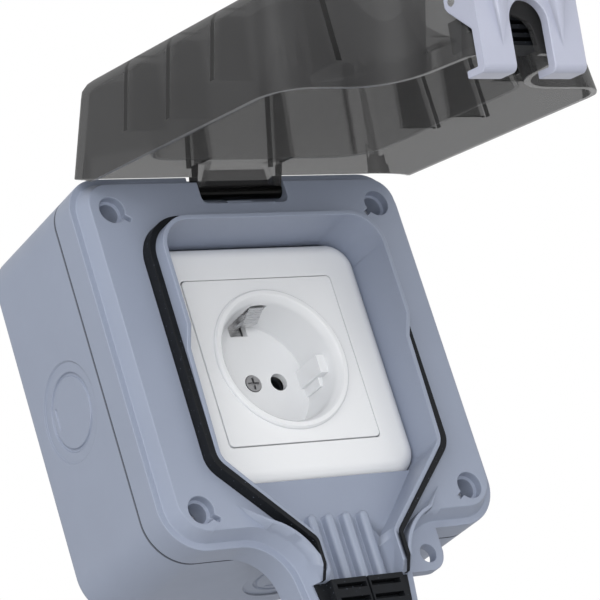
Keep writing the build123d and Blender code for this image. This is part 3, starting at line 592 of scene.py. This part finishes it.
@dataclass(frozen=True)
class EdgeRound:
    """Rounds the sharp edges of a CAD node's mesh in a copy that stands for it."""

    radius: float
    segments: int = 2
    angle: float = math.radians(32.0)
    smooth_angle: float = math.radians(42.0)
    flat_angle: float = math.radians(0.4)
    weld: float = 0.002 * MM
    tries: int = 8
    room_in_radii: float = 2.0
    area_slack: float = 0.01 * MM * MM

    def copy(self, node: str, body: Body, slot: Slot) -> bpy.types.Object:
        """Makes the rounded piece.

        Args:
            node: The CAD node to round.
            body: The body that carries it.
            slot: The record's slot; not used.

        Returns:
            The rounded piece, which replaces the node.
        """
        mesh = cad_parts[node].data.copy()
        mesh.name = f"{node}_rounded"
        mesh.materials.clear()
        self._round(mesh)
        mesh.set_sharp_from_angle(angle=self.smooth_angle)
        piece = bpy.data.objects.new(f"{node}_rounded", mesh)
        bpy.context.scene.collection.objects.link(piece)
        weights = piece.modifiers.new("even_normals", "WEIGHTED_NORMAL")
        weights.keep_sharp = True
        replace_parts(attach(piece, body.value), node)
        return piece

    def _round(self, mesh: bpy.types.Mesh) -> None:
        """Rounds a mesh's edges, and leaves those sharp where the bevel would fold.

        Args:
            mesh: The mesh to round.
        """
        tight: list[Vector] = []
        work = self._bevelled(mesh, tight)
        for _ in range(self.tries - 1):
            crossings = self._crossings(work)
            if not crossings:
                break
            tight += crossings
            work.free()
            work = self._bevelled(mesh, tight)
        for face in work.faces:
            face.smooth = True
        work.to_mesh(mesh)
        work.free()
        log.info("%s: %d tight places at its edges", mesh.name, len(tight))

    def _bevelled(self, mesh: bpy.types.Mesh, tight: list[Vector]) -> bmesh.types.BMesh:
        """Bevels the sharp edges that have room for it.

        Args:
            mesh: The CAD mesh.
            tight: Places with no room, whose edges stay sharp.

        Returns:
            The bevelled mesh.
        """
        work = bmesh.new()
        work.from_mesh(mesh)
        bmesh.ops.remove_doubles(work, verts=work.verts, dist=self.weld)
        bmesh.ops.dissolve_limit(work, angle_limit=self.flat_angle, verts=work.verts, edges=work.edges)
        sharp = [e for e in work.edges if e.calc_face_angle(0.0) > self.angle and self._has_room(e, tight)]
        bmesh.ops.bevel(
            work, geom=sharp, offset=self.radius, offset_type="OFFSET", segments=self.segments, profile=0.5,
            affect="EDGES", clamp_overlap=False, loop_slide=True, miter_outer="ARC",
        )
        return work

    def _has_room(self, edge: bmesh.types.BMEdge, tight: list[Vector]) -> bool:
        """Whether an edge stays clear of every tight place.

        Args:
            edge: The edge.
            tight: The tight places.

        Returns:
            True if the edge can be rounded.
        """
        start, end = (vert.co for vert in edge.verts)
        for place in tight:
            _, share = intersect_point_line(place, start, end)
            nearest = start.lerp(end, min(max(share, 0.0), 1.0))
            if (nearest - place).length < self.room_in_radii * self.radius:
                return False
        return True

    def _crossings(self, work: bmesh.types.BMesh) -> list[Vector]:
        """Finds faces that the bevel has folded over themselves.

        Args:
            work: The bevelled mesh.

        Returns:
            The corners of those faces' crossing sides.
        """
        filled: dict[int, float] = {}
        work.faces.index_update()
        for loops in work.calc_loop_triangles():
            corners = [loop.vert.co for loop in loops]
            index = loops[0].face.index
            filled[index] = filled.get(index, 0.0) + area_tri(*corners)
        places: list[Vector] = []
        for face in work.faces:
            if abs(filled[face.index] - face.calc_area()) > self.area_slack:
                places += self._crossing_corners(face)
        return places

    @staticmethod
    def _crossing_corners(face: bmesh.types.BMFace) -> list[Vector]:
        """Finds where a face's sides cross.

        Args:
            face: The folded face.

        Returns:
            The corners of the crossing sides, or all corners if none cross.
        """
        across = face.normal.orthogonal().normalized()
        along = face.normal.cross(across)
        corners = [vert.co.copy() for vert in face.verts]
        flat = [Vector((corner.dot(across), corner.dot(along))) for corner in corners]
        count = len(corners)
        found: list[Vector] = []
        for one in range(count):
            for two in range(one + 2, count - (one == 0)):
                ends = (one, (one + 1) % count, two, (two + 1) % count)
                if intersect_line_line_2d(*(flat[end] for end in ends)) is not None:
                    found += [corners[end] for end in ends]
        return found or corners


def paint(piece: bpy.types.Object, finish: Finish) -> None:
    """Gives a piece one finish.

    Args:
        piece: The piece.
        finish: Its finish.
    """
    piece.data.materials.clear()
    piece.data.materials.append(finish.material())
    log.info("%s: %s", piece.name, finish.name)


def paint_nodes(names: tuple[str, ...], finish: Finish) -> None:
    """Gives CAD nodes one finish.

    Args:
        names: The nodes' names.
        finish: Their finish.
    """
    for name in names:
        paint(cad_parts[name], finish)


@dataclass
class WallBox:
    """The grey box on the wall, its gasket and its inserts."""

    edge: float = 0.35 * MM
    box: bpy.types.Object = field(init=False)

    def build(self) -> None:
        """Rounds the box's moulded edges."""
        self.box = EdgeRound(self.edge).copy("back_box", Body.HOUSING, Slot.GREY)

    def dress(self) -> None:
        """Paints the box, gasket and inserts."""
        paint(self.box, Finishes.GREY)
        paint_nodes(("box_gasket",), Finishes.RUBBER)
        paint_nodes(("screw_inserts",), Finishes.BRASS)


@dataclass
class FrontCover:
    """The grey cover with its seal, comb, screws and hinge pin."""

    edge: float = 0.3 * MM
    seal_edge: float = 0.25 * MM
    cover: bpy.types.Object = field(init=False)
    seal: bpy.types.Object = field(init=False)

    def build(self) -> None:
        """Rounds the cover's and the seal's edges."""
        self.cover = EdgeRound(self.edge).copy("front_housing", Body.HOUSING, Slot.GREY)
        self.seal = EdgeRound(self.seal_edge).copy("opening_seal", Body.HOUSING, Slot.RUBBER)

    def dress(self) -> None:
        """Paints the cover and what it carries."""
        paint(self.cover, Finishes.GREY)
        paint(self.seal, Finishes.RUBBER)
        paint_nodes(("cable_comb_lower", "screw_washers"), Finishes.RUBBER)
        paint_nodes(("cover_screws", "hinge_pin"), Finishes.STEEL)


@dataclass
class Outlet:
    """The white two-pin earthed outlet and what lies behind it."""

    edge: float = 0.12 * MM
    border: bpy.types.Object = field(init=False)
    plate: bpy.types.Object = field(init=False)

    def build(self) -> None:
        """Rounds the white mouldings' edges."""
        self.border = EdgeRound(self.edge).copy("socket_frame", Body.HOUSING, Slot.WHITE)
        self.plate = EdgeRound(self.edge).copy("socket_cover", Body.HOUSING, Slot.WHITE)

    def dress(self) -> None:
        """Paints the mouldings, metal and block."""
        paint(self.border, Finishes.WHITE)
        paint(self.plate, Finishes.WHITE)
        paint_nodes(("earth_clip", "terminal_screws", "mounting_strap", "strap_screws"), Finishes.STEEL)
        paint_nodes(("socket_centre_screw",), Finishes.SCREW)
        # the contacts carry painted shade
        paint_nodes(("line_contact", "neutral_contact"), Finishes.CONTACT_SHADE)
        paint_nodes(("socket_base",), Finishes.BLOCK)


class Skin(Enum):
    """The kinds of surface on the lid, in the order of its finishes; the rim kind carries a painted
    highlight, the fin and edge kinds painted shade.
    """

    FROST = 0
    CLEAR = 1
    # fin faces, and fin edges with the hinge barrel, carry painted shade, partly the thicker plastic
    FIN_SHADE = 2
    EDGE_SHADE = 3
    # the rim's end faces, which carry a painted highlight
    RIM_HIGHLIGHT = 4


@dataclass
class Lid:
    """The smoke-grey lid with its comb and the latch's pins."""

    edge: float = 0.3 * MM
    shape: LidShape = LidShape()
    rim_slack: float = 0.3 * MM
    rim_facing: float = 0.7
    fin_slack: float = 0.4 * MM
    fin_edge_facing: float = 0.5
    inside_facing: float = 0.3
    ray_start: float = 0.05 * MM
    shell: bpy.types.Object = field(init=False)

    def build(self) -> None:
        """Rounds the lid's edges."""
        self.shell = EdgeRound(self.edge).copy("lid", Body.LID, Slot.SMOKE)

    def dress(self) -> None:
        """Paints the lid and what it carries."""
        paint(self.shell, Finishes.FROST)
        for finish in (Finishes.CLEAR, Finishes.FIN_SHADE, Finishes.EDGE_SHADE, Finishes.RIM_HIGHLIGHT):
            self.shell.data.materials.append(finish.material())
        self._sort_faces()
        paint_nodes(("cable_comb_upper",), Finishes.RUBBER)
        paint_nodes(("latch_pins",), Finishes.STEEL)

    def _sort_faces(self) -> None:
        """Gives each face of the lid the finish of its kind of surface."""
        mesh = self.shell.data
        shut = [self.shape.shut(vert.co) for vert in mesh.vertices]
        tree = BVHTree.FromPolygons(shut, [tuple(face.vertices) for face in mesh.polygons])
        for face in mesh.polygons:
            corners = [shut[index] for index in face.vertices]
            face.material_index = self._kind(corners, self.shape.turn @ face.normal, tree).value

    def _kind(self, corners: list[Vector], normal: Vector, tree: BVHTree) -> Skin:
        """Finds a face's kind of surface.

        Args:
            corners: The face's corners in the shut lid's frame.
            normal: The face's normal in that frame.
            tree: The shut lid's faces.

        Returns:
            The kind of surface.
        """
        middle = sum(corners, Vector()) / len(corners)
        depth = -middle.y
        # the hinge barrel takes the near-black painted shade
        if (middle - Vector(self.shape.hinge)).yz.length < self.shape.barrel:
            return Skin.EDGE_SHADE
        # the rim's end faces take the painted highlight
        if depth < self.shape.rim + self.rim_slack and normal.y > self.rim_facing:
            return Skin.RIM_HIGHLIGHT
        for fin in self.shape.fins:
            lowest = self.shape.rim + fin.lift - self.fin_slack
            # fin faces and fin edges take the near-black painted shade
            if lowest < depth < self.shape.roof - self.shape.wall and fin.holds(corners):
                return Skin.EDGE_SHADE if normal.y > self.fin_edge_facing else Skin.FIN_SHADE
        if normal.y > self.inside_facing:
            return Skin.CLEAR
        faces_lid = tree.ray_cast(middle + normal * self.ray_start, normal)[0] is not None
        return Skin.CLEAR if faces_lid else Skin.FROST


@dataclass
class Latch:
    """The pale latch at the lid's end."""

    edge: float = 0.35 * MM
    segments: int = 3
    latch: bpy.types.Object = field(init=False)

    def build(self) -> None:
        """Rounds the latch's edges."""
        self.latch = EdgeRound(self.edge, self.segments).copy("latch", Body.LATCH, Slot.LATCH)

    def dress(self) -> None:
        """Paints the latch."""
        paint(self.latch, Finishes.LATCH)


@dataclass(frozen=True)
class Lamp:
    """A soft square white lamp that points at the object."""

    name: str
    place: Triple
    size: float
    power: float

    def add(self, target: Vector) -> None:
        """Adds the lamp.

        Args:
            target: The point that it faces.
        """
        data = bpy.data.lights.new(self.name, "AREA")
        data.size = self.size
        data.energy = self.power
        lamp = bpy.data.objects.new(self.name, data)
        lamp.location = self.place
        lamp.rotation_euler = (target - lamp.location).to_track_quat("-Z", "Y").to_euler()
        bpy.context.scene.collection.objects.link(lamp)


@dataclass
class Studio:
    """The floor, lamps, white surround and camera."""

    floor_level: float = -0.42
    floor_size: float = 4.0
    floor_cells: int = 8
    ambient: float = 0.46
    glossy_share: float = 0.75
    lens: float = 185.42
    sensor: float = 36.0
    clip_start: float = 0.01
    place: Triple = (-0.53147, -0.76455, -0.31381)
    view: Triple = (0.5696, 0.7450, 0.3473)
    down: Triple = (-0.0393, 0.4467, -0.8938)
    lit_point: Triple = (0.0, -0.08, 0.0)
    lamps: tuple[Lamp, ...] = (
        Lamp("key", (-1.10, -0.85, 0.55), 0.9, 8.0),
        Lamp("fill", (0.9, -1.2, 0.2), 1.0, 2.0),
        Lamp("low", (-0.70, -1.20, -0.20), 0.4, 6.0),
    )

    def build(self) -> None:
        """Sets up floor, world, lamps and camera."""
        bpy.context.scene.view_settings.view_transform = "Standard"
        self._add_floor()
        self._light_world()
        for lamp in self.lamps:
            lamp.add(Vector(self.lit_point))
        self._add_camera()

    def _add_floor(self) -> None:
        """Adds the pale floor."""
        work = bmesh.new()
        cells = self.floor_cells
        bmesh.ops.create_grid(work, x_segments=cells, y_segments=cells, size=self.floor_size / 2)
        mesh = bpy.data.meshes.new("floor")
        work.to_mesh(mesh)
        work.free()
        floor = bpy.data.objects.new("floor", mesh)
        floor.location.z = self.floor_level
        bpy.context.scene.collection.objects.link(floor)
        paint(floor, Finishes.FLOOR)

    def _light_world(self) -> None:
        """Makes a surround that looks white and lights softly."""
        world = bpy.data.worlds.new("surround")
        world.use_nodes = True
        bpy.context.scene.world = world
        graph = Graph(world.node_tree)
        seen = graph.node("ShaderNodeLightPath", {}, {}, "Is Camera Ray")
        glossy = graph.node("ShaderNodeLightPath", {}, {}, "Is Glossy Ray")
        through = graph.node("ShaderNodeLightPath", {}, {}, "Is Transmission Ray")
        white = seen + glossy * self.glossy_share + through
        strength = self.ambient + white * (1.0 - self.ambient)
        inputs = {"Color": (1.0, 1.0, 1.0, 1.0), "Strength": strength}
        shade = graph.node("ShaderNodeBackground", {}, inputs)
        graph.node("ShaderNodeOutputWorld", {}, {"Surface": shade})

    def _add_camera(self) -> None:
        """Places the camera at the photograph's viewpoint."""
        data = bpy.data.cameras.new("camera")
        data.lens = self.lens
        data.sensor_width = self.sensor
        data.clip_start = self.clip_start
        view = Vector(self.view).normalized()
        right = view.cross(-Vector(self.down)).normalized()
        turn = Matrix((right, right.cross(view), -view)).transposed().to_4x4()
        camera = bpy.data.objects.new("camera", data)
        camera.matrix_world = Matrix.Translation(self.place) @ turn
        bpy.context.scene.collection.objects.link(camera)
        bpy.context.scene.camera = camera


def main() -> None:
    """Builds and dresses each sub-assembly, then the studio."""
    logging.basicConfig(level=logging.INFO, format="%(name)s: %(message)s")
    for assembly in (WallBox(), FrontCover(), Outlet(), Lid(), Latch()):
        assembly.build()
        assembly.dress()
        log.info("%s is dressed", type(assembly).__name__)
    Studio().build()


if __name__ == "__main__":
    main()
